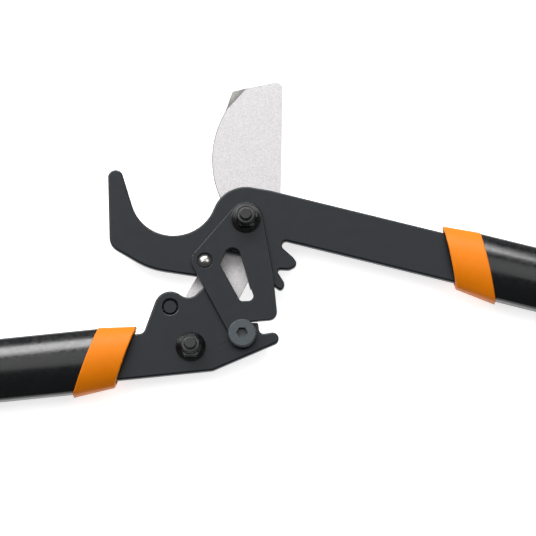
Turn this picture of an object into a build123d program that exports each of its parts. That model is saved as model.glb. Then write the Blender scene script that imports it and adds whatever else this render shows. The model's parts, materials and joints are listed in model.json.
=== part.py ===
from build123d import *
import math
import os

# Geared bypass lopper, lying flat and fully open.  Millimetres.
# Origin: main pivot axis, in the plane that the tool rests on.  +Z points up
# through the pivots, +X runs towards the end of the right handle.

os.makedirs("parts", exist_ok=True)

# ---------------------------------------------------------------- driving sizes
PIVOT_SPACING = 84.5          # main pivot to handle pivot
PIVOT_BEARING = 247.2         # direction of the handle pivot, degrees from +X
PLATE_THICKNESS = 5.0         # hook plate and left handle plate
BLADE_THICKNESS = 3.5
KEEPER_THICKNESS = 3.0
PLATE_GAP = 0.1               # running gap between neighbouring layers
HUB_RADIUS = 20.7             # hook plate round the main pivot
RIGHT_TANG_WIDTH = 28.3       # right arm and its tang
LEFT_TANG_WIDTH = 26.8
ARM_ANGLE = -14.2             # right handle axis, degrees from +X
LEFT_ANGLE = 185.9            # left handle axis, degrees from +X
ARM_OFFSET = 7.3              # right handle axis beside the main pivot
LEFT_OFFSET = 2.4             # left handle axis beside the handle pivot

THREAD_DIAMETER = 8.0         # M8 fasteners
JOURNAL_DIAMETER = 10.0       # plain part of each pivot bolt
BUSH_DIAMETER = 13.0
HEX_ACROSS_FLATS = 13.0
NUT_FLANGE_DIAMETER = 17.9
BOLT_HEAD_HEIGHT = 5.3
BOLT_HEAD_DIAMETER = 19.0
WASHER_THICKNESS = 1.6
WASHER_DIAMETER = 21.0
BOLT_REACH = 12.4             # from the nut's seat to the end of the bolt
FIT = 0.05                    # radial clearance of fits and running journals
PLUG_FIT = 0.12               # clearance of plugs and fillers inside the tube

TUBE_WIDTH = 37.4
TUBE_DEPTH = 23.0
TUBE_WALL = 1.5
COLLAR_LENGTH = 23.4
COLLAR_OUTER_WIDTH = 38.8
COLLAR_INNER_WIDTH = 34.4
COLLAR_INNER_LIFT = 1.1       # sideways offset of the collar's narrow end
COLLAR_OUTER_LIFT = 0.3       # and of its broad end
COLLAR_WALL = 2.2
COLLAR_SLANT = 25.2           # end faces, degrees from square
RIGHT_COLLAR_START = 124.4    # from the main pivot, along the right axis
LEFT_COLLAR_START = 39.3      # from the handle pivot, along the left axis
RIGHT_LENGTH = 752.0          # main pivot to the end of the right tube
LEFT_LENGTH = 664.0           # handle pivot to the end of the left tube
TANG_DEPTH = 92.0             # tang inside the tube
GRIP_LENGTH = 196.0
GRIP_DEPTH = 25.6

# ---------------------------------------------------------------- layer heights
BLADE_REAR = BOLT_HEAD_HEIGHT + WASHER_THICKNESS
PLATE_REAR = BLADE_REAR + BLADE_THICKNESS + PLATE_GAP
PLATE_FRONT = PLATE_REAR + PLATE_THICKNESS
KEEPER_REAR = PLATE_FRONT + PLATE_GAP
KEEPER_FRONT = KEEPER_REAR + KEEPER_THICKNESS
MID_HEIGHT = PLATE_REAR + PLATE_THICKNESS / 2

MAIN_PIVOT = (0.0, 0.0)
HANDLE_PIVOT = (
    PIVOT_SPACING * math.cos(math.radians(PIVOT_BEARING)),
    PIVOT_SPACING * math.sin(math.radians(PIVOT_BEARING)),
)
GLIDE_PIN_AT = (-24.6, -26.1)
GUIDE_SCREW_AT = (-2.1, -70.8)
STOP_STUD_AT = (-45.2, -53.8)


# -------------------------------------------------------------- drawing helpers
def polar(centre, radius, degrees):
    """Point at a radius and direction from a centre."""
    angle = math.radians(degrees)
    return (centre[0] + radius * math.cos(angle), centre[1] + radius * math.sin(angle))


def along(frame, x, y):
    """Plan position of a point given in a handle's own frame."""
    place = (frame * Location((x, y, 0))).position
    return (place.X, place.Y)


def rounded_path(corners):
    """Edges through (x, y, rounding radius) corners, with a tangent arc at each one inside."""
    points = [Vector(x, y) for x, y, _ in corners]
    edges = []
    line_start = points[0]
    for before, corner, after, (_, _, radius) in zip(points, points[1:], points[2:], corners[1:]):
        line_end = corner
        next_start = corner
        if radius:
            back = (before - corner).normalized()
            ahead = (after - corner).normalized()
            half = math.radians(back.get_angle(ahead)) / 2
            reach = radius / math.tan(half)
            middle = corner + (back + ahead).normalized() * (radius / math.sin(half) - radius)
            line_end = corner + back * reach
            next_start = corner + ahead * reach
            edges.append(Edge.make_three_point_arc(line_end, middle, next_start))
        edges.append(Edge.make_line(line_start, line_end))
        line_start = next_start
    edges.append(Edge.make_line(line_start, points[-1]))
    return edges


def arc(centre, radius, start, end):
    """Circular edge between two directions, in degrees."""
    return CenterArc(centre, radius, start, end - start).edge()


def face_of(edges):
    """Plane face bounded by a closed loop of edges."""
    return Face(Wire(edges))


def disc_hull(discs):
    """Face stretched like a belt round (x, y, radius) discs."""
    rims = [Pos(x, y) * CenterArc((0, 0), radius, 0, 360) for x, y, radius in discs]
    return make_face(make_hull(ShapeList([rim.edge() for rim in rims])))


def slab(face, bottom, thickness):
    """Plate of a plan face, from a bottom height."""
    return extrude(Pos(0, 0, bottom) * face, amount=thickness, dir=(0, 0, 1))


def rod(centre, radius, bottom, top):
    """Upright cylinder between two heights."""
    return Pos(centre[0], centre[1], bottom) * Cylinder(
        radius, top - bottom, align=(Align.CENTER, Align.CENTER, Align.MIN)
    )


def prism(shape, centre, bottom, top):
    """Upright prism of a sketch placed at a centre."""
    return extrude(Pos(centre[0], centre[1], bottom) * shape, amount=top - bottom)


def soften(solid, height, size):
    """Small chamfer round every edge that lies at one height."""
    edges = solid.edges().filter_by_position(Axis.Z, height - 0.001, height + 0.001)
    return chamfer(edges, size)


# ------------------------------------------------------------------- hook plate
RIGHT_FRAME = Rot(0, 0, ARM_ANGLE) * Pos(0, ARM_OFFSET, 0)
LEFT_FRAME = Pos(*HANDLE_PIVOT, 0) * Rot(0, 0, LEFT_ANGLE) * Pos(0, LEFT_OFFSET, 0)

MOUTH_CENTRE = (-43.8, 16.4)
MOUTH_RADIUS = math.hypot(*MOUTH_CENTRE) - HUB_RADIUS
MOUTH_EXIT = 197.2            # where the mouth arc runs out into the hook's tip
HUB_BLEND = 10.0              # past the main pivot, where the arm's straight top starts
HOOK_TIP_LENGTH = 19.4
HOOK_TIP_TOP = 31.2
HOOK_SHOULDER = (-83.7, 27.2)  # outer end of the rounded tip
INNER_HUB_RADIUS = 21.6       # hub edge that shows inside the keeper's window
INNER_HUB_START = 232         # that edge's ends, degrees
INNER_HUB_END = 265


def hook_plate_outline():
    """Hook, hub, right arm and the arm's teeth, as one closed outline."""
    half = RIGHT_TANG_WIDTH / 2
    tang_end = RIGHT_COLLAR_START + COLLAR_LENGTH + TANG_DEPTH
    arm_top = along(RIGHT_FRAME, tang_end, half)
    arm_root = along(RIGHT_FRAME, HUB_BLEND, half)
    arm_bottom = along(RIGHT_FRAME, tang_end, -half)
    hub_start = ARM_ANGLE + 90
    hub_end = math.degrees(math.atan2(MOUTH_CENTRE[1], MOUTH_CENTRE[0]))
    mouth_end = polar(MOUTH_CENTRE, MOUTH_RADIUS, MOUTH_EXIT)
    tip_inner = polar(mouth_end, HOOK_TIP_LENGTH, MOUTH_EXIT - 90)
    tip_top = ((tip_inner[0] + HOOK_SHOULDER[0]) / 2 - 0.4, HOOK_TIP_TOP)
    lower_side = [
        (*HOOK_SHOULDER, 0),
        (-82.0, -16.2, 9.0),
        (-58.0, -30.4, 46.0),
        (-24.0, -35.6, 6.0),
        (-17.6, -28.5, 9.0),
        (*polar(MAIN_PIVOT, INNER_HUB_RADIUS, INNER_HUB_START), 0),
    ]
    toothed_side = [
        (*polar(MAIN_PIVOT, INNER_HUB_RADIUS, INNER_HUB_END), 0),
        (-2.2, -25.0, 8.0),
        (3.0, -43.8, 2.0),
        (15.0, -39.8, 3.0),
        (21.3, -44.2, 2.0),
        (23.8, -39.8, 4.0),
        (18.0, -30.6, 1.5),
        (26.0, -31.0, 3.0),
        (32.0, -28.0, 3.2),
        (28.2, -22.9, 8.0),
        (*along(RIGHT_FRAME, 17.0, -half), 2.6),
        (*arm_bottom, 0),
    ]
    edges = [
        Edge.make_line(arm_bottom, arm_top),
        Edge.make_line(arm_top, arm_root),
        Edge.make_line(arm_root, polar(MAIN_PIVOT, HUB_RADIUS, hub_start)),
        arc(MAIN_PIVOT, HUB_RADIUS, hub_start, hub_end),
        arc(MOUTH_CENTRE, MOUTH_RADIUS, hub_end + 180, MOUTH_EXIT),
        Edge.make_line(mouth_end, tip_inner),
        Edge.make_three_point_arc(tip_inner, tip_top, HOOK_SHOULDER),
        arc(MAIN_PIVOT, INNER_HUB_RADIUS, INNER_HUB_START, INNER_HUB_END),
    ]
    return face_of(edges + rounded_path(lower_side) + rounded_path(toothed_side))


def make_hook_plate():
    plate = slab(hook_plate_outline(), PLATE_REAR, PLATE_THICKNESS)
    plate -= rod(MAIN_PIVOT, BUSH_DIAMETER / 2 + FIT, PLATE_REAR, PLATE_FRONT)
    return plate - rivet_holes(RIGHT_FRAME, RIGHT_COLLAR_START)


# -------------------------------------------------------------------- left plate
STUD_RADIUS = 4.4
STUD_PIN_RADIUS = 3.8
STUD_RELIEF = 0.7
STUD_END_GAP = 0.6            # behind the stud, to the rear face of the blade
LOBE_RADIUS = 9.65            # left plate round the stop stud
LOBE_START = 161              # the lobe's ends, degrees
LOBE_END = 52
SECTOR_RADIUS = 38.4          # plain part of the left plate's gear edge
SECTOR_START = 68             # its ends, degrees
SECTOR_END = 40


def left_plate_outline():
    """Left tang, stud lobe, gear edge, prong and heel, as one closed outline."""
    half = LEFT_TANG_WIDTH / 2
    tang_end = LEFT_COLLAR_START + COLLAR_LENGTH + TANG_DEPTH
    top_side = [
        (*along(LEFT_FRAME, tang_end, -half), 0),
        (*along(LEFT_FRAME, 27.3, -half), 4.0),
        (*polar(STOP_STUD_AT, LOBE_RADIUS, LOBE_START), 0),
    ]
    saddle = [
        (*polar(STOP_STUD_AT, LOBE_RADIUS, LOBE_END), 0),
        (-33.5, -49.8, 7.0),
        (-23.2, -39.6, 3.0),
        (*polar(HANDLE_PIVOT, SECTOR_RADIUS, SECTOR_START), 0),
    ]
    toothed_side = [
        (*polar(HANDLE_PIVOT, SECTOR_RADIUS, SECTOR_END), 0),
        (*polar(HANDLE_PIVOT, 34.0, 34), 4.0),
        (*polar(HANDLE_PIVOT, 32.4, 27), 2.5),
        (*polar(HANDLE_PIVOT, 42.6, 20.0), 1.0),
        (8.4, -70.5, 2.9),
        (46.6, -63.6, 3.7),
        (*along(LEFT_FRAME, -11.6, half), 6.0),
        (*along(LEFT_FRAME, tang_end, half), 0),
    ]
    edges = [
        arc(STOP_STUD_AT, LOBE_RADIUS, LOBE_START, LOBE_END),
        arc(HANDLE_PIVOT, SECTOR_RADIUS, SECTOR_START, SECTOR_END),
        Edge.make_line(toothed_side[-1][:2], top_side[0][:2]),
    ]
    edges += rounded_path(top_side) + rounded_path(saddle) + rounded_path(toothed_side)
    return face_of(edges)


def make_left_plate():
    plate = slab(left_plate_outline(), PLATE_REAR, PLATE_THICKNESS)
    plate -= rod(HANDLE_PIVOT, BUSH_DIAMETER / 2 + FIT, PLATE_REAR, PLATE_FRONT)
    plate -= rod(STOP_STUD_AT, STUD_RADIUS + FIT, PLATE_REAR, PLATE_FRONT)
    return plate - rivet_holes(LEFT_FRAME, LEFT_COLLAR_START)


def make_stop_stud():
    """Flush in the front of the left plate, and proud behind it as the open stop."""
    stud = rod(STOP_STUD_AT, STUD_RADIUS, PLATE_REAR, PLATE_FRONT)
    stud = soften(stud, PLATE_FRONT, STUD_RELIEF)
    return stud + rod(STOP_STUD_AT, STUD_PIN_RADIUS, BLADE_REAR + STUD_END_GAP, PLATE_REAR)


# ------------------------------------------------------------------------- blade
EDGE_CENTRE = (40.8, 39.1)    # the cutting edge is an arc about this point
EDGE_RADIUS = 61.6
EDGE_START = 150.6            # top of the bevel, degrees
EDGE_END = 203.0              # foot of the bevel, degrees
BEVEL_WIDTH = 6.5
BEVEL_DEPTH = 3.1
RELIEF_ANGLE = 19.0
RELIEF_END = (1.0, 85.1)      # where the tip relief meets the blade's top
BLADE_CORNER = (22.4, 88.9)
BLADE_TIP = (-8.6, 82.7)
SQUARE_NECK = 10.0


def blade_face():
    """Crescent cutting blade on a straight tail that carries the handle pivot."""
    edge_top = polar(EDGE_CENTRE, EDGE_RADIUS, EDGE_START)
    edge_foot = polar(EDGE_CENTRE, EDGE_RADIUS, EDGE_END)
    body = [
        (*edge_foot, 0),
        (-14.6, -8.4, 10.0),
        (-44.9, -61.4, 7.0),
        (-46.4, -90.0, 12.0),
        (-27.8, -93.0, 11.0),
        (20.6, 0.5, 14.0),
        (*BLADE_CORNER, 4.2),
        (*BLADE_TIP, 1.4),
        (*edge_top, 0),
    ]
    return face_of([arc(EDGE_CENTRE, EDGE_RADIUS, EDGE_START, EDGE_END)] + rounded_path(body))


def edge_bevel():
    """Conical cut along the cutting arc, on the rear face."""
    ring = Cylinder(EDGE_RADIUS + BEVEL_WIDTH, BEVEL_DEPTH)
    ring -= Cone(EDGE_RADIUS - BEVEL_WIDTH, EDGE_RADIUS, BEVEL_DEPTH)
    reach = EDGE_RADIUS + 4 * BEVEL_WIDTH
    middle = (EDGE_START + EDGE_END) / 2
    rays = [polar(EDGE_CENTRE, reach, angle) for angle in (EDGE_START, middle, EDGE_END)]
    fan = make_face(Polyline(EDGE_CENTRE, *rays, close=True))
    return (Pos(*EDGE_CENTRE, BLADE_REAR + BEVEL_DEPTH / 2) * ring) & slab(fan, BLADE_REAR, BEVEL_DEPTH)


def tip_relief():
    """Wedge that thins the front face across the blade's tip."""
    edge_top = polar(EDGE_CENTRE, EDGE_RADIUS, EDGE_START)
    run = Vector(*edge_top) - Vector(*RELIEF_END)
    heading = math.degrees(math.atan2(run.Y, run.X))
    block = Box(60, 30, 12, align=(Align.CENTER, Align.MAX, Align.MIN))
    block = Rot(RELIEF_ANGLE, 0, 0) * block
    front = BLADE_REAR + BLADE_THICKNESS
    return Pos(*edge_top, front) * Rot(0, 0, heading) * block


def make_blade():
    blade = slab(blade_face(), BLADE_REAR, BLADE_THICKNESS) - edge_bevel() - tip_relief()
    top = BLADE_REAR + BLADE_THICKNESS
    neck = Rectangle(SQUARE_NECK + 2 * FIT, SQUARE_NECK + 2 * FIT)
    for centre in (MAIN_PIVOT, HANDLE_PIVOT):
        blade -= prism(neck, centre, BLADE_REAR, top)
    return blade


# ------------------------------------------------------------------ keeper plate
PIN_HOLE_DIAMETER = 6.0
PIN_DOME_DIAMETER = 7.6
PIN_RECESS_DIAMETER = 9.4
PIN_RECESS_DEPTH = 1.3
PAD_DIAMETER = 11.0
PAD_THICKNESS = 1.2
THREAD_FLATS = 6.6            # across the two flats on the main bolt's thread
KEEPER_EASE = 0.35


def make_keeper_plate():
    """Front plate from the main pivot to the guide screw, with its window."""
    body = disc_hull([(0, 0, 10.2), (*GLIDE_PIN_AT, 8.1), (10.1, -34.0, 6.2),
                      (13.6, -57.4, 5.1), (-4.5, -57.4, 6.5)])
    limb = disc_hull([(*GLIDE_PIN_AT, 8.1), (*GUIDE_SCREW_AT, 6.9)])
    window = disc_hull([(-8.0, -23.2, 4.8), (-14.2, -28.2, 1.2), (1.4, -47.6, 3.1),
                        (-1.9, -48.5, 2.3)])
    plate = slab(body, KEEPER_REAR, KEEPER_THICKNESS) + slab(limb, KEEPER_REAR, KEEPER_THICKNESS)
    plate -= slab(window, KEEPER_REAR, KEEPER_THICKNESS)
    plate = soften(plate, KEEPER_FRONT, KEEPER_EASE)
    plate -= prism(flatted_shank(FIT), MAIN_PIVOT, KEEPER_REAR, KEEPER_FRONT)
    plate -= rod(GLIDE_PIN_AT, PIN_HOLE_DIAMETER / 2 + FIT, KEEPER_REAR, KEEPER_FRONT)
    recess = PIN_RECESS_DIAMETER / 2
    plate -= rod(GLIDE_PIN_AT, recess, KEEPER_FRONT - PIN_RECESS_DEPTH, KEEPER_FRONT)
    plate -= rod(GUIDE_SCREW_AT, THREAD_DIAMETER / 2 + FIT, KEEPER_REAR, KEEPER_FRONT)
    pad_top = KEEPER_REAR + PAD_THICKNESS
    return plate - rod(GUIDE_SCREW_AT, PAD_DIAMETER / 2 + FIT, KEEPER_REAR, pad_top)


def flatted_shank(clearance):
    """Thread section with two flats, which keys the keeper to the main bolt."""
    circle = Circle(THREAD_DIAMETER / 2 + clearance)
    return circle & Rectangle(THREAD_FLATS + 2 * clearance, THREAD_DIAMETER + 1)


def make_glide_pin():
    """Domed pin in a recess of the keeper, its foot just clear of the hook plate."""
    seat = KEEPER_FRONT - PIN_RECESS_DEPTH
    pin = rod(GLIDE_PIN_AT, PIN_HOLE_DIAMETER / 2, KEEPER_REAR, seat)
    head = PIN_DOME_DIAMETER / 2
    pin += rod(GLIDE_PIN_AT, head, seat, seat + 1.0)
    dome_rise = 1.7
    dome_radius = (head**2 + dome_rise**2) / (2 * dome_rise)
    ball = Pos(*GLIDE_PIN_AT, seat + 1.0 + dome_rise - dome_radius) * Sphere(dome_radius)
    return pin + (ball & rod(GLIDE_PIN_AT, head, seat + 1.0, seat + 1.0 + dome_rise))


SCREW_HEAD_DIAMETER = 16.8
SCREW_HEAD_HEIGHT = 3.5
SCREW_SOCKET = 6.0


def make_guide_screw():
    """Low round screw with a hexagon socket, above the glide pad."""
    top = KEEPER_FRONT + SCREW_HEAD_HEIGHT
    screw = rod(GUIDE_SCREW_AT, SCREW_HEAD_DIAMETER / 2, KEEPER_FRONT, top)
    screw = soften(screw, top, 0.6)
    shank_bottom = KEEPER_REAR + PAD_THICKNESS
    screw += rod(GUIDE_SCREW_AT, THREAD_DIAMETER / 2, shank_bottom, KEEPER_FRONT)
    socket = RegularPolygon(SCREW_SOCKET / 2, 6, major_radius=False)
    return screw - prism(socket, GUIDE_SCREW_AT, top - 3.0, top)


def make_glide_pad():
    return rod(GUIDE_SCREW_AT, PAD_DIAMETER / 2, KEEPER_REAR, KEEPER_REAR + PAD_THICKNESS)


# ------------------------------------------------------------------ pivot bolts
RING_HEIGHT = 1.8
RING_RADIUS = 4.9
RING_RECESS = 0.5             # ring below the nut's crown
RING_BORE_CLEARANCE = 0.02
NUT_HEIGHT = 10.4
NUT_CROWN_DIAMETER = 11.6


def make_pivot_bolt(centre, seat, flats_to=None):
    """Round-headed bolt: square neck in the blade, plain journal, threaded end."""
    bolt = rod(centre, BOLT_HEAD_DIAMETER / 2, 0, BOLT_HEAD_HEIGHT)
    bolt = soften(bolt, 0, 1.2)
    neck_top = BLADE_REAR + BLADE_THICKNESS
    bolt += rod(centre, THREAD_DIAMETER / 2, BOLT_HEAD_HEIGHT, BLADE_REAR)
    bolt += prism(Rectangle(SQUARE_NECK, SQUARE_NECK), centre, BLADE_REAR, neck_top)
    bolt += rod(centre, JOURNAL_DIAMETER / 2, neck_top, PLATE_FRONT)
    end = seat + BOLT_REACH
    thread = rod(centre, THREAD_DIAMETER / 2, PLATE_FRONT, end)
    thread = soften(thread, end, 0.8)
    if flats_to:
        thread -= rod(centre, THREAD_DIAMETER, PLATE_FRONT, flats_to)
        thread += prism(flatted_shank(0), centre, PLATE_FRONT, flats_to)
    return bolt + thread


def make_washer(centre):
    washer = rod(centre, WASHER_DIAMETER / 2, BOLT_HEAD_HEIGHT, BLADE_REAR)
    return washer - rod(centre, THREAD_DIAMETER / 2 + 0.2, BOLT_HEAD_HEIGHT, BLADE_REAR)


def make_flange_nut(centre, seat):
    """Hexagon lock nut with a conical flange and a round crown for its ring."""
    hexagon = RegularPolygon(HEX_ACROSS_FLATS / 2, 6, major_radius=False)
    flange = rod(centre, NUT_FLANGE_DIAMETER / 2, seat, seat + 1.2)
    cone = Cone(NUT_FLANGE_DIAMETER / 2, HEX_ACROSS_FLATS / 2, 2.2,
                align=(Align.CENTER, Align.CENTER, Align.MIN))
    flange += Pos(*centre, seat + 1.2) * cone
    body = prism(hexagon, centre, seat, seat + NUT_HEIGHT - 2.4)
    corner_cone = Cone(HEX_ACROSS_FLATS / 2 + 6.0, HEX_ACROSS_FLATS / 2 - 0.4, 8.0,
                       align=(Align.CENTER, Align.CENTER, Align.MAX))
    body &= Pos(*centre, seat + NUT_HEIGHT - 2.4) * corner_cone
    crown = rod(centre, NUT_CROWN_DIAMETER / 2, seat, seat + NUT_HEIGHT)
    crown = soften(crown, seat + NUT_HEIGHT, 0.7)
    nut = flange + body + crown
    nut -= rod(centre, THREAD_DIAMETER / 2 + FIT, seat, seat + NUT_HEIGHT)
    ring_bottom = seat + NUT_HEIGHT - RING_RECESS - RING_HEIGHT
    return nut - rod(centre, RING_RADIUS + FIT, ring_bottom, seat + NUT_HEIGHT)


def make_lock_ring(centre, seat):
    bottom = seat + NUT_HEIGHT - RING_RECESS - RING_HEIGHT
    ring = rod(centre, RING_RADIUS, bottom, bottom + RING_HEIGHT)
    return ring - rod(centre, THREAD_DIAMETER / 2 + RING_BORE_CLEARANCE, bottom, bottom + RING_HEIGHT)


def make_bush(centre):
    bush = rod(centre, BUSH_DIAMETER / 2, PLATE_REAR, PLATE_FRONT)
    return bush - rod(centre, JOURNAL_DIAMETER / 2 + FIT, PLATE_REAR, PLATE_FRONT)


# ----------------------------------------------------------------------- handles
RIVET_STATIONS = (60.0, 78.0)  # past the collar's outer end
RIVET_DIAMETER = 5.0
RIVET_HEAD_DIAMETER = 9.5
RIVET_HEAD_RISE = 0.9
RIVET_SEAT_DEPTH = 0.5        # flat seat sunk into the tube's crowned face
SPIGOT_LENGTH = 20.0
SPACER_START = 46.0
CAP_FLANGE = 7.0
CAP_PLUG = 22.0
CAP_WIDTH = 43.0
REACH = 40.0                  # half width of the slanted cutting blocks
LOFT_MARGIN = 14.0            # collar stock beyond each slanted end
CROWN = 0.75                  # radius of an oval's broad faces over its width
CORNER = 0.42                 # corner radius over the height of an oval's narrow sides


def section(width, depth, x, shift=0.0):
    """Oval tube section, two crowned faces with rounded corners, at a distance x."""
    radius = CROWN * width
    drop = radius - math.sqrt(radius**2 - (width / 2) ** 2)
    side = depth - 2 * drop
    oval = Rectangle(width, depth)
    for end in (-1, 1):
        oval &= Pos(0, end * (depth / 2 - radius)) * Circle(radius)
    oval = fillet(oval.vertices(), CORNER * side)
    plane = Plane(origin=(x, shift, MID_HEIGHT), x_dir=(0, 1, 0), z_dir=(1, 0, 0))
    return plane * oval


def bar(width, depth, start, end):
    """Straight bar of the rounded section."""
    return extrude(section(width, depth, start), amount=end - start, dir=(1, 0, 0))


def slanted_block(start, end, lean):
    """Space between two slanted planes, used to cut the collar and tube ends."""
    skew = REACH * math.tan(math.radians(COLLAR_SLANT)) * lean
    plan = Polyline((start - skew, REACH), (end - skew, REACH), (end + skew, -REACH),
                    (start + skew, -REACH), close=True)
    return slab(make_face(plan), -REACH, 3 * REACH)


def rivet_holes(frame, collar_start):
    """Holes through tube, spacers and tang for the handle's rivets."""
    first = collar_start + COLLAR_LENGTH
    radius = RIVET_DIAMETER / 2 + FIT
    top = MID_HEIGHT + TUBE_DEPTH
    holes = [rod(along(frame, first + x, 0), radius, -TUBE_DEPTH, top) for x in RIVET_STATIONS]
    return holes[0] + holes[1]


def collar_stock(start, inset, lean):
    """Tapered oval bar along the collar, reduced all round by an inset."""
    end = start + COLLAR_LENGTH
    steps = LOFT_MARGIN / COLLAR_LENGTH
    taper = (COLLAR_OUTER_WIDTH - COLLAR_INNER_WIDTH) * steps
    lift = (COLLAR_INNER_LIFT - COLLAR_OUTER_LIFT) * steps
    narrow = COLLAR_INNER_WIDTH - taper - 2 * inset
    broad = COLLAR_OUTER_WIDTH + taper - 2 * inset
    flatness = TUBE_WIDTH - TUBE_DEPTH
    return loft([
        section(narrow, narrow - flatness, start - LOFT_MARGIN, (COLLAR_INNER_LIFT + lift) * lean),
        section(broad, broad - flatness, end + LOFT_MARGIN, (COLLAR_OUTER_LIFT - lift) * lean),
    ])


def make_collar(start, lean, tang_width):
    """Tapered collar with slanted ends, a spigot in the tube and a slot for the tang."""
    end = start + COLLAR_LENGTH
    collar = collar_stock(start, 0, lean) & slanted_block(start, end, lean)
    mouth_depth = 5.0
    collar -= collar_stock(start, COLLAR_WALL, lean) & slanted_block(start - 1, start + mouth_depth, lean)
    inset = 2 * (TUBE_WALL + PLUG_FIT)
    spigot = bar(TUBE_WIDTH - inset, TUBE_DEPTH - inset, end - LOFT_MARGIN, end + SPIGOT_LENGTH)
    collar += spigot & slanted_block(end - 4, end + 2 * REACH, lean)
    slot = Box(6 * REACH, tang_width + 2 * FIT, PLATE_THICKNESS + 2 * FIT)
    return collar - Pos(end, 0, MID_HEIGHT) * slot


def make_tube(start, length, lean):
    """Oval handle tube, its head end cut to the collar's slant."""
    end = start + COLLAR_LENGTH
    tube = bar(TUBE_WIDTH, TUBE_DEPTH, end - LOFT_MARGIN, length)
    bore = 2 * TUBE_WALL
    tube -= bar(TUBE_WIDTH - bore, TUBE_DEPTH - bore, end - LOFT_MARGIN - 1, length + 1)
    for station in RIVET_STATIONS:
        for side in (-1, 1):
            seat = Cylinder(RIVET_HEAD_DIAMETER / 2 + FIT, 2 * RIVET_SEAT_DEPTH)
            tube -= Pos(end + station, 0, MID_HEIGHT + side * TUBE_DEPTH / 2) * seat
    return tube & slanted_block(end, length + REACH, lean)


def make_spacers(start):
    """Two blocks that fill the tube above and below the tang at the rivets."""
    first = start + COLLAR_LENGTH + SPACER_START
    last = start + COLLAR_LENGTH + TANG_DEPTH
    inset = 2 * (TUBE_WALL + PLUG_FIT)
    block = bar(TUBE_WIDTH - inset, TUBE_DEPTH - inset, first, last)
    slot = Box(6 * REACH, 2 * REACH, PLATE_THICKNESS + 2 * FIT)
    return block - Pos(first, 0, MID_HEIGHT) * slot


def make_rivets(frame, start):
    """Two rivets with low heads in the tube's flat seats."""
    rivets = []
    low = MID_HEIGHT - TUBE_DEPTH / 2 + RIVET_SEAT_DEPTH
    high = MID_HEIGHT + TUBE_DEPTH / 2 - RIVET_SEAT_DEPTH
    for station in RIVET_STATIONS:
        centre = along(frame, start + COLLAR_LENGTH + station, 0)
        rivet = rod(centre, RIVET_DIAMETER / 2, low, high)
        for bottom in (low - RIVET_HEAD_RISE, high):
            rivet += rod(centre, RIVET_HEAD_DIAMETER / 2, bottom, bottom + RIVET_HEAD_RISE)
        rivets.append(rivet)
    return Compound(rivets)


def make_grip(length):
    """Soft sleeve over the end of the tube, waisted for the hand."""
    waists = [(0.0, 40.4, 24.6), (0.08, 42.2, 25.2), (0.35, 43.0, GRIP_DEPTH),
              (0.68, 40.8, 25.2), (0.90, 42.2, GRIP_DEPTH), (1.0, CAP_WIDTH, GRIP_DEPTH)]
    first = length - GRIP_LENGTH
    sections = [section(width, depth, first + t * GRIP_LENGTH) for t, width, depth in waists]
    grip = loft(sections)
    core = 2 * FIT
    return grip - bar(TUBE_WIDTH + core, TUBE_DEPTH + core, first - 5, length + 5)


def make_end_cap(length):
    """Plug in the end of the tube with a flange that closes the grip."""
    inset = 2 * (TUBE_WALL + PLUG_FIT)
    plug = bar(TUBE_WIDTH - inset, TUBE_DEPTH - inset, length - CAP_PLUG, length)
    taper = 2.0
    flange = loft([
        section(CAP_WIDTH, GRIP_DEPTH, length),
        section(CAP_WIDTH - taper, GRIP_DEPTH - taper, length + CAP_FLANGE),
    ])
    return plug + flange


# ------------------------------------------------------------------------- parts
def handle_parts(side, frame, start, length, lean, tang_width):
    """Every piece of one handle outside its plate."""
    holes = rivet_holes(frame, start)
    return {
        f"{side}_collar": frame * make_collar(start, lean, tang_width),
        f"{side}_tube": (frame * make_tube(start, length, lean)) - holes,
        f"{side}_tang_spacers": (frame * make_spacers(start)) - holes,
        f"{side}_tang_rivets": make_rivets(frame, start),
        f"{side}_grip": frame * make_grip(length),
        f"{side}_end_cap": frame * make_end_cap(length),
    }


def all_parts():
    """Every node of the tool, by name."""
    parts = {
        "hook_plate": make_hook_plate(),
        "pivot_bush": make_bush(MAIN_PIVOT),
        "blade": make_blade(),
        "pivot_bolt": make_pivot_bolt(MAIN_PIVOT, KEEPER_FRONT, KEEPER_FRONT),
        "pivot_washer": make_washer(MAIN_PIVOT),
        "pivot_nut": make_flange_nut(MAIN_PIVOT, KEEPER_FRONT),
        "pivot_lock_ring": make_lock_ring(MAIN_PIVOT, KEEPER_FRONT),
        "keeper_plate": make_keeper_plate(),
        "glide_pin": make_glide_pin(),
        "guide_screw": make_guide_screw(),
        "glide_pad": make_glide_pad(),
        "handle_bolt": make_pivot_bolt(HANDLE_PIVOT, PLATE_FRONT),
        "handle_washer": make_washer(HANDLE_PIVOT),
        "handle_nut": make_flange_nut(HANDLE_PIVOT, PLATE_FRONT),
        "handle_lock_ring": make_lock_ring(HANDLE_PIVOT, PLATE_FRONT),
        "left_plate": make_left_plate(),
        "handle_bush": make_bush(HANDLE_PIVOT),
        "stop_stud": make_stop_stud(),
    }
    parts |= handle_parts("right", RIGHT_FRAME, RIGHT_COLLAR_START, RIGHT_LENGTH, 1,
                          RIGHT_TANG_WIDTH)
    parts |= handle_parts("left", LEFT_FRAME, LEFT_COLLAR_START, LEFT_LENGTH, -1,
                          LEFT_TANG_WIDTH)
    return parts


for name, shape in all_parts().items():
    export_step(shape, f"parts/{name}.step")
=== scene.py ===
import json
import math

import bmesh
import bpy
from mathutils import Matrix, Vector


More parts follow.
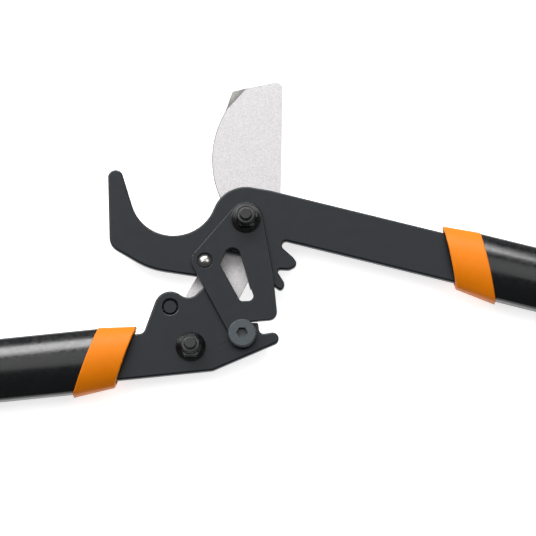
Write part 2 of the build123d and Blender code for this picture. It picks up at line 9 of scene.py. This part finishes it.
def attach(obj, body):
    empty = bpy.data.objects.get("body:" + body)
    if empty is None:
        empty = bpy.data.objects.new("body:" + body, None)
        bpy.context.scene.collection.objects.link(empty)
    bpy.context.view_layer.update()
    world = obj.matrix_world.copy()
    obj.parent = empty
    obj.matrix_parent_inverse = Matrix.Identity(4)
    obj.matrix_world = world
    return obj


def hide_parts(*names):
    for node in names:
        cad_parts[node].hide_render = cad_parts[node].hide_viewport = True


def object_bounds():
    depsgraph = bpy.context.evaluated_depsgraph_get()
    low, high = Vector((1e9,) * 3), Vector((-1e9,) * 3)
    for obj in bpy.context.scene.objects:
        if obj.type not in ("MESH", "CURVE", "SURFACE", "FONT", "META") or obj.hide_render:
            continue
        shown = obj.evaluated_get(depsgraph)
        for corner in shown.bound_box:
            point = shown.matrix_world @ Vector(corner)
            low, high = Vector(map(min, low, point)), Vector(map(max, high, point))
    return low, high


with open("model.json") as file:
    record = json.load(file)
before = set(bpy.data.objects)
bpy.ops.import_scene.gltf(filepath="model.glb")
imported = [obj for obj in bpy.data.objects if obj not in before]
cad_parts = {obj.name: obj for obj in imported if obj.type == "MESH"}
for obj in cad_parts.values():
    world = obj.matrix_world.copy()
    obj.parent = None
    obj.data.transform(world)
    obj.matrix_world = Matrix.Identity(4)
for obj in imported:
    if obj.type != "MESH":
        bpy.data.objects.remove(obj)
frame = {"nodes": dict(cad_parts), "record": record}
cad_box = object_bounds()
nodes = frame["nodes"]
MM = 0.001                       # lengths are in metres unless a name or comment says mm


# ------------------------------------------------------------------ camera
CAMERA_ELEVATION = math.radians(77.0)
CAMERA_DISTANCE = 1.4
VIEW_WIDTH = 0.3216              # width seen at the distance of LOOK_AT
LOOK_AT = Vector((0.0133, -0.0300, 0.0155))
SENSOR_WIDTH = 36.0              # mm
NEAR_LIMIT = 0.01


def make_camera():
    """Camera above the tool, leaning towards the tool's lower edge."""
    data = bpy.data.cameras.new("camera")
    data.sensor_width = SENSOR_WIDTH
    data.lens = SENSOR_WIDTH * CAMERA_DISTANCE / VIEW_WIDTH
    data.clip_start = NEAR_LIMIT
    camera = bpy.data.objects.new("camera", data)
    bpy.context.scene.collection.objects.link(camera)
    back = Vector((0, -math.cos(CAMERA_ELEVATION), math.sin(CAMERA_ELEVATION)))
    camera.location = LOOK_AT + back * CAMERA_DISTANCE
    camera.rotation_euler = back.to_track_quat("Z", "Y").to_euler()
    bpy.context.scene.camera = camera


# ------------------------------------------------------------------ floor and light
FLOOR_REACH = 6.0
FLOOR_GAP = 0.0005               # below the lowest point of the tool
FLOOR_WHITE = 0.60
FLOOR_ROUGHNESS = 0.9
FLOOR_GLOW = 0.74                # keeps the floor white where the tool shades it
LAMP_TARGET = Vector((0.0, -0.03, 0.0))
SOFTBOX_SIDE = 1.15
SURROUND = 0.12


def make_floor():
    """Plain pale floor just under the tool."""
    r = FLOOR_REACH
    mesh = bpy.data.meshes.new("floor")
    mesh.from_pydata([(-r, -r, 0), (r, -r, 0), (r, r, 0), (-r, r, 0)], [], [(0, 1, 2, 3)])
    mesh.materials.append(floor_material())
    floor = bpy.data.objects.new("floor", mesh)
    floor.location.z = cad_box[0][2] - FLOOR_GAP
    bpy.context.scene.collection.objects.link(floor)


def floor_material():
    material = bpy.data.materials.new("floor_white")
    material.use_nodes = True
    shader = material.node_tree.nodes["Principled BSDF"]
    shader.inputs["Base Color"].default_value = (FLOOR_WHITE, FLOOR_WHITE, FLOOR_WHITE, 1)
    shader.inputs["Roughness"].default_value = FLOOR_ROUGHNESS
    shader.inputs["Emission Color"].default_value = (1, 1, 1, 1)
    shader.inputs["Emission Strength"].default_value = FLOOR_GLOW
    return material


def area_light(name, position, size, power):
    """Soft rectangular lamp that faces the tool."""
    data = bpy.data.lights.new(name, "AREA")
    data.shape = "RECTANGLE"
    data.size, data.size_y = size
    data.energy = power
    lamp = bpy.data.objects.new(name, data)
    lamp.location = position
    aim = Vector(position) - LAMP_TARGET
    lamp.rotation_euler = aim.to_track_quat("Z", "Y").to_euler()
    bpy.context.scene.collection.objects.link(lamp)


def make_lights():
    """Bright strip low behind the tool, a weaker softbox overhead and one at each side."""
    area_light("back_strip", (-0.52, 1.48, 1.25), (2.7, 0.74), 82)
    area_light("top_softbox", (0.0, 0.53, 2.13), (2.6, 1.30), 15)
    for name, x in (("left_softbox", -SOFTBOX_SIDE), ("right_softbox", SOFTBOX_SIDE)):
        area_light(name, (x, 0.25, 1.6), (0.9, 0.9), 9)


def make_world():
    """Dim white surround, and colours shown as they are."""
    world = bpy.data.worlds.new("studio")
    world.use_nodes = True
    background = world.node_tree.nodes["Background"]
    background.inputs["Color"].default_value = (1, 1, 1, 1)
    background.inputs["Strength"].default_value = SURROUND
    bpy.context.scene.world = world
    bpy.context.scene.view_settings.view_transform = "Standard"


# ------------------------------------------------------------------ painting helpers
NOISE_LOW = 0.3                  # most noise values lie between these two
NOISE_HIGH = 0.7


class Paint:
    """Small helper that adds texture nodes to one Principled material."""

    def __init__(self, name, metallic=0.0, specular=0.5):
        self.material = bpy.data.materials.new(name)
        self.material.use_nodes = True
        self.tree = self.material.node_tree
        self.shader = self.tree.nodes["Principled BSDF"]
        self.shader.inputs["Metallic"].default_value = metallic
        self.shader.inputs["Specular IOR Level"].default_value = specular
        self.place = self.node("ShaderNodeTexCoord").outputs["Object"]

    def node(self, kind, **settings):
        made = self.tree.nodes.new(kind)
        for key, value in settings.items():
            setattr(made, key, value)
        return made

    def link(self, source, target):
        self.tree.links.new(source, target)

    def noise(self, scale, detail=3.0, stretch=(1, 1, 1)):
        """Noise value, with scale in cycles to the metre."""
        mapping = self.node("ShaderNodeMapping")
        mapping.inputs["Scale"].default_value = stretch
        self.link(self.place, mapping.inputs["Vector"])
        noise = self.node("ShaderNodeTexNoise")
        noise.inputs["Scale"].default_value = scale
        noise.inputs["Detail"].default_value = detail
        self.link(mapping.outputs["Vector"], noise.inputs["Vector"])
        return noise.outputs["Fac"]

    def ramp(self, value, stops):
        """Colour ramp through (position, colour) stops."""
        ramp = self.node("ShaderNodeValToRGB")
        elements = ramp.color_ramp.elements
        while len(elements) < len(stops):
            elements.new(0.5)
        for element, (position, colour) in zip(elements, stops):
            element.position = position
            element.color = (*colour, 1)
        self.link(value, ramp.inputs["Fac"])
        return ramp.outputs["Color"]

    def remap(self, value, start, end, low=0.0, high=1.0):
        """Value that runs from low at start to high at end, and stays there beyond."""
        spread = self.node("ShaderNodeMapRange")
        spread.inputs["From Min"].default_value = start
        spread.inputs["From Max"].default_value = end
        spread.inputs["To Min"].default_value = low
        spread.inputs["To Max"].default_value = high
        self.link(value, spread.inputs["Value"])
        return spread.outputs["Result"]

    def mix(self, factor, first, second):
        """Colour mix of two sockets."""
        mix = self.node("ShaderNodeMix", data_type="RGBA")
        self.link(factor, mix.inputs["Factor"])
        self.link(first, mix.inputs["A"])
        self.link(second, mix.inputs["B"])
        return mix.outputs["Result"]

    def colour(self, socket):
        self.link(socket, self.shader.inputs["Base Color"])

    def roughness(self, value, low, high):
        """Gloss that varies with a noise value."""
        spread = self.remap(value, NOISE_LOW, NOISE_HIGH, low, high)
        self.link(spread, self.shader.inputs["Roughness"])

    def bump(self, value, height):
        bump = self.node("ShaderNodeBump")
        bump.inputs["Distance"].default_value = height
        self.link(value, bump.inputs["Height"])
        self.link(bump.outputs["Normal"], self.shader.inputs["Normal"])

    def beyond_plane(self, facing, origin, softness):
        """0 to 1 across the upright plane through origin that faces a plan direction."""
        offset = self.node("ShaderNodeVectorMath", operation="SUBTRACT")
        self.link(self.place, offset.inputs[0])
        offset.inputs[1].default_value = (*origin, 0)
        dot = self.node("ShaderNodeVectorMath", operation="DOT_PRODUCT")
        self.link(offset.outputs["Vector"], dot.inputs[0])
        dot.inputs[1].default_value = (*facing, 0)
        return self.remap(dot.outputs["Value"], -softness, softness)

    def beyond_radius(self, centre, radius, softness):
        """0 to 1 across a cylinder about an upright axis, from inside to outside."""
        flat = self.node("ShaderNodeVectorMath", operation="MULTIPLY")
        self.link(self.place, flat.inputs[0])
        flat.inputs[1].default_value = (1, 1, 0)
        distance = self.node("ShaderNodeVectorMath", operation="DISTANCE")
        self.link(flat.outputs["Vector"], distance.inputs[0])
        distance.inputs[1].default_value = (*centre, 0)
        return self.remap(distance.outputs["Value"], radius - softness, radius + softness)

    def both(self, first, second):
        """Product of two masks."""
        product = self.node("ShaderNodeMath", operation="MULTIPLY")
        self.link(first, product.inputs[0])
        self.link(second, product.inputs[1])
        return product.outputs["Value"]


def shade(colour, factor):
    return tuple(channel * factor for channel in colour)


def uneven(colour, contrast):
    """Ramp stops that vary a colour by a contrast to each side."""
    return [(NOISE_LOW, shade(colour, 1 - contrast)), (NOISE_HIGH, shade(colour, 1 + contrast))]


# ------------------------------------------------------------------ even finishes
GLOSS_SPREAD = 0.05              # roughness varies by this to each side
GLOSS_CYCLES = 3.1               # gloss patches to one patch of colour
GRAIN_CYCLES = 40                # grains to one patch of colour


def mottled(name, colour, rough, cycles, contrast=0.12, grain=0.00002, **settings):
    """Even finish with slight mottling, uneven gloss and a fine grain."""
    paint = Paint(name, **settings)
    paint.colour(paint.ramp(paint.noise(cycles, detail=4.0), uneven(colour, contrast)))
    paint.roughness(paint.noise(cycles * GLOSS_CYCLES), rough - GLOSS_SPREAD, rough + GLOSS_SPREAD)
    paint.bump(paint.noise(cycles * GRAIN_CYCLES, detail=2.0), grain)
    return paint.material


EVEN_FINISHES = {
    "coated_steel": {"colour": (0.0022, 0.0042, 0.0066), "rough": 0.34, "cycles": 60,
                     "grain": 0.000010, "specular": 0.30},
    "black_steel": {"colour": (0.0040, 0.0045, 0.0050), "rough": 0.17, "cycles": 200,
                    "contrast": 0.2, "grain": 0.000006},
    "dark_steel": {"colour": (0.030, 0.038, 0.044), "rough": 0.42, "cycles": 500,
                   "contrast": 0.1, "metallic": 0.2},
    "polished_steel": {"colour": (0.34, 0.335, 0.32), "rough": 0.26, "cycles": 300,
                       "contrast": 0.04, "grain": 0.000004, "metallic": 1.0},
    "bronze": {"colour": (0.55, 0.38, 0.18), "rough": 0.35, "cycles": 200, "metallic": 1.0},
    "rivet_aluminium": {"colour": (0.30, 0.30, 0.31), "rough": 0.42, "cycles": 300,
                        "metallic": 1.0},
    "black_tube": {"colour": (0.0030, 0.0036, 0.0040), "rough": 0.22, "cycles": 120,
                   "contrast": 0.15, "grain": 0.000004},
    "orange_plastic": {"colour": (0.56, 0.145, 0.0), "rough": 0.45, "cycles": 90,
                       "contrast": 0.04, "grain": 0.00001, "specular": 0.16},
    "nylon": {"colour": (0.050, 0.052, 0.052), "rough": 0.35, "cycles": 150},
    "filler_plastic": {"colour": (0.03, 0.03, 0.03), "rough": 0.5, "cycles": 120},
    "grip_rubber": {"colour": (0.014, 0.014, 0.015), "rough": 0.62, "cycles": 160,
                    "contrast": 0.15, "grain": 0.00006},
}


# ------------------------------------------------------------------ blade finish
EDGE_CENTRE = (0.0408, 0.0391)   # the blade's cutting edge is an arc about this point
EDGE_RADIUS = 0.0616
EDGE_LINE = 0.00045              # width of the darker line painted along the edge: the ground bevel, partly painted shade
EDGE_SOFTNESS = 0.0001
EDGE_FOOT = (-0.0159, 0.0120)    # just below the foot of the cutting edge
FOOT_SOFTNESS = 0.0002
RELIEF_END = (0.0010, 0.0851)    # where the ground tip relief meets the blade's top
RELIEF_FACING = (-0.7507, 0.6607)
RELIEF_SOFTNESS = 0.00005
BLASTED_STEEL = (0.415, 0.404, 0.408)
# darker colour for the ground edge line and tip relief: partly their ground finish, partly painted
# shade of facets that tilt away from the light
GROUND_STEEL_AND_SHADE = (0.135, 0.131, 0.125)


def blasted_blade():
    """Blasted light steel with a sparkling grain, painted darker at the edge and tip: the ground
    finish there, partly painted shade of facets that tilt away from the light.
    """
    paint = Paint("blade_steel", metallic=0.15, specular=0.4)
    sparkle = [(0.36, shade(BLASTED_STEEL, 0.86)), (0.5, BLASTED_STEEL),
               (0.64, shade(BLASTED_STEEL, 1.12))]
    blasted = paint.ramp(paint.noise(1500), sparkle)
    ground_and_shade = paint.ramp(paint.noise(500, stretch=(1, 0.15, 1)), uneven(GROUND_STEEL_AND_SHADE, 0.2))
    near_edge = paint.beyond_radius(EDGE_CENTRE, EDGE_RADIUS - EDGE_LINE, EDGE_SOFTNESS)
    above_foot = paint.beyond_plane((0, 1), EDGE_FOOT, FOOT_SOFTNESS)
    # the ground line along the edge is painted darker, partly as painted shade
    edged = paint.mix(paint.both(near_edge, above_foot), blasted, ground_and_shade)
    relief = paint.beyond_plane(RELIEF_FACING, RELIEF_END, RELIEF_SOFTNESS)
    # painted shade, in part: the tip relief faces away from the light and is painted darker
    paint.colour(paint.mix(relief, edged, ground_and_shade))
    paint.roughness(paint.noise(900), 0.42, 0.58)
    paint.bump(paint.noise(2600, detail=2.0), 0.00001)
    return paint.material


def make_materials():
    """One finished material for each of the record's slots, by the slot's name."""
    materials = {slot: mottled(slot, **finish) for slot, finish in EVEN_FINISHES.items()}
    materials["blade_steel"] = blasted_blade()
    return materials


# ------------------------------------------------------------------ CAD pieces
EDGE_ROUNDING = {  # mm
    "hook_plate": 1.2,
    "left_plate": 1.2,
    "keeper_plate": 0.3,
    "blade": 0.06,
    "pivot_nut": 0.25,
    "handle_nut": 0.25,
    "pivot_bolt": 0.15,
    "handle_bolt": 0.15,
    "guide_screw": 0.15,
    "right_collar": 0.7,
    "left_collar": 0.7,
    "right_end_cap": 1.6,
    "left_end_cap": 1.6,
}
ROUNDING_SEGMENTS = 3
CORNER_ANGLE = math.radians(35.0)  # sharper corners than this are rounded
SEAM_GAP = 0.000002              # the faces of a CAD mesh don't share their edges
FLAT_ANGLE = math.radians(0.3)
FACE_AREA_WEIGHT = 100
NODE_SHARP_ANGLE = math.radians(25.0)


def round_edges(item, width):
    """Joins a CAD mesh's face seams, merges its flat triangles and rounds its sharp edges."""
    weld = item.modifiers.new("joined_seams", "WELD")
    weld.merge_threshold = SEAM_GAP
    flat = item.modifiers.new("merged_flats", "DECIMATE")
    flat.decimate_type = "DISSOLVE"
    flat.angle_limit = FLAT_ANGLE
    bevel = item.modifiers.new("rounded_edges", "BEVEL")
    bevel.width = width
    bevel.segments = ROUNDING_SEGMENTS
    bevel.limit_method = "ANGLE"
    bevel.angle_limit = CORNER_ANGLE
    bevel.use_clamp_overlap = False
    bevel.loop_slide = False
    even = item.modifiers.new("even_flats", "WEIGHTED_NORMAL")
    even.mode = "FACE_AREA"
    even.weight = FACE_AREA_WEIGHT


def smooth(mesh, sharp_angle):
    """Smooth shading with creases at the sharp edges."""
    mesh.shade_smooth()
    mesh.set_sharp_from_angle(angle=sharp_angle)


def paint_nodes(materials):
    """Gives every CAD node its slot's material and smooth round faces, and rounds the edges of the
    nodes in EDGE_ROUNDING.
    """
    slots = {entry["node"]: entry["material_slot"] for entry in frame["record"]["subparts"]}
    for name, node in nodes.items():
        node.data.materials.clear()
        node.data.materials.append(materials[slots[name]])
        smooth(node.data, NODE_SHARP_ANGLE)
        if name in EDGE_ROUNDING:
            round_edges(node, EDGE_ROUNDING[name] * MM)


# ------------------------------------------------------------------ grips
MID_HEIGHT = 0.013               # height of the tubes' axes
HANDLES = {
    "right": {"body": "hook_side", "pivot": (0.0, 0.0), "angle": -14.2, "offset": 0.0073,
              "reach": 0.752},
    "left": {"body": "left_handle", "pivot": (-0.03275, -0.07790), "angle": 185.9,
             "offset": 0.0024, "reach": 0.664},
}
TUBE_WIDTH = 0.0374
TUBE_DEPTH = 0.0230
BORE_FIT = 0.0001                # the sleeve's bore is this much larger than the tube
BORE = (TUBE_WIDTH + BORE_FIT, TUBE_DEPTH + BORE_FIT)
ROUNDNESS = 2.3                  # superellipse exponent of the sleeve

GRIP_LENGTH = 0.196
GRIP_STATIONS = (  # fraction of the length, width, depth
    (0.0, 0.0404, 0.0246),
    (0.08, 0.0422, 0.0252),
    (0.35, 0.0430, 0.0256),
    (0.68, 0.0408, 0.0252),
    (0.90, 0.0422, 0.0256),
    (1.0, 0.0430, 0.0256),
)
GREATEST_DEPTH = 0.0256

GROOVE_PITCH = 0.0068
GROOVE_DEPTH = 0.0006
GROOVE_SHARPNESS = 3             # power of the cosine wave
GROOVES_START = 0.14             # fractions of the length
GROOVES_END = 0.88
GROOVES_FADE = 0.04
SIDE_FADE = 0.35                 # grooves fade out where the sine of the angle nears this

LIP_HEIGHT = 0.0011
LIP_PLACE = 0.004
LIP_SPREAD = 0.0022
MOUTH_DROP = 0.0008              # the sleeve's first edge is rounded down by this
MOUTH_SPREAD = 0.0006

STEPS = 220
AROUND = 72
ANGLES = [2 * math.pi * k / AROUND for k in range(AROUND)]
SLEEVE_SHARP_ANGLE = math.radians(40.0)


def clamp(value):
    return min(max(value, 0.0), 1.0)


def handle_frame(handle):
    """Matrix whose X runs outward along a handle's axis."""
    pivot = Matrix.Translation((*handle["pivot"], 0))
    turn = Matrix.Rotation(math.radians(handle["angle"]), 4, "Z")
    return pivot @ turn @ Matrix.Translation((0, handle["offset"], 0))


def waist(t):
    """Width and depth of the sleeve at a fraction of its length, eased between stations."""
    for (t0, w0, d0), (t1, w1, d1) in zip(GRIP_STATIONS, GRIP_STATIONS[1:]):
        if t <= t1:
            f = (t - t0) / (t1 - t0)
            ease = f * f * (3 - 2 * f)
            return w0 + (w1 - w0) * ease, d0 + (d1 - d0) * ease


def oval_point(width, depth, angle):
    """Point of a superellipse, as (across, up)."""
    cosine = math.cos(angle)
    sine = math.sin(angle)
    power = 2.0 / ROUNDNESS
    across = math.copysign(abs(cosine) ** power, cosine) * width / 2
    up = math.copysign(abs(sine) ** power, sine) * depth / 2
    return across, up


def groove_depth(t, angle):
    """Moulded finger grooves across both broad faces, fading out to the sides."""
    zone = clamp((t - GROOVES_START) / GROOVES_FADE) * clamp((GROOVES_END - t) / GROOVES_FADE)
    wave = max(0.0, math.cos(2 * math.pi * t * GRIP_LENGTH / GROOVE_PITCH)) ** GROOVE_SHARPNESS
    face = clamp((abs(math.sin(angle)) - SIDE_FADE) / SIDE_FADE)
    return GROOVE_DEPTH * zone * wave * face


def sleeve_size(t, angle):
    """Width and depth of the sleeve's outside at a fraction of its length."""
    width, depth = waist(t)
    along = t * GRIP_LENGTH
    lip = LIP_HEIGHT * math.exp(-((along - LIP_PLACE) / LIP_SPREAD) ** 2)
    mouth = MOUTH_DROP * math.exp(-along / MOUTH_SPREAD)
    cut = groove_depth(t, angle) + mouth - lip
    return width - 2 * cut, min(depth - 2 * cut, GREATEST_DEPTH)


def add_ring(mesh, place, along, sizes):
    """Ring of vertices round the sleeve, with one width and depth for each angle."""
    ring = []
    for angle, (width, depth) in zip(ANGLES, sizes):
        across, up = oval_point(width, depth, angle)
        ring.append(mesh.verts.new(place @ Vector((along, across, MID_HEIGHT + up))))
    return ring


def grip_sleeve(side, material):
    """Soft sleeve with moulded grooves and a rolled lip, open at both ends for the tube."""
    place = handle_frame(HANDLES[side])
    end = HANDLES[side]["reach"]
    start = end - GRIP_LENGTH
    mesh = bmesh.new()
    rings = []
    for i in range(STEPS + 1):
        t = i / STEPS
        sizes = [sleeve_size(t, angle) for angle in ANGLES]
        rings.append(add_ring(mesh, place, start + t * GRIP_LENGTH, sizes))
    for along in (end, start):
        rings.append(add_ring(mesh, place, along, [BORE] * AROUND))
    rings.append(rings[0])
    for low, high in zip(rings, rings[1:]):
        for k in range(AROUND):
            n = (k + 1) % AROUND
            mesh.faces.new((low[k], low[n], high[n], high[k]))
    bmesh.ops.recalc_face_normals(mesh, faces=mesh.faces)
    return finish_mesh(mesh, f"{side}_grip_sleeve", material)


def finish_mesh(mesh, name, material):
    """Turns bmesh data into a smooth-shaded piece with its material."""
    data = bpy.data.meshes.new(name)
    mesh.to_mesh(data)
    mesh.free()
    data.materials.append(material)
    smooth(data, SLEEVE_SHARP_ANGLE)
    piece = bpy.data.objects.new(name, data)
    bpy.context.scene.collection.objects.link(piece)
    return piece


def make_grips(materials):
    """Detailed sleeves in place of the plain CAD grips."""
    for side, handle in HANDLES.items():
        sleeve = grip_sleeve(side, materials["grip_rubber"])
        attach(sleeve, handle["body"])
        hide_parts(f"{side}_grip")


# ------------------------------------------------------------------ build
make_camera()
make_floor()
make_lights()
make_world()
materials = make_materials()
paint_nodes(materials)
make_grips(materials)
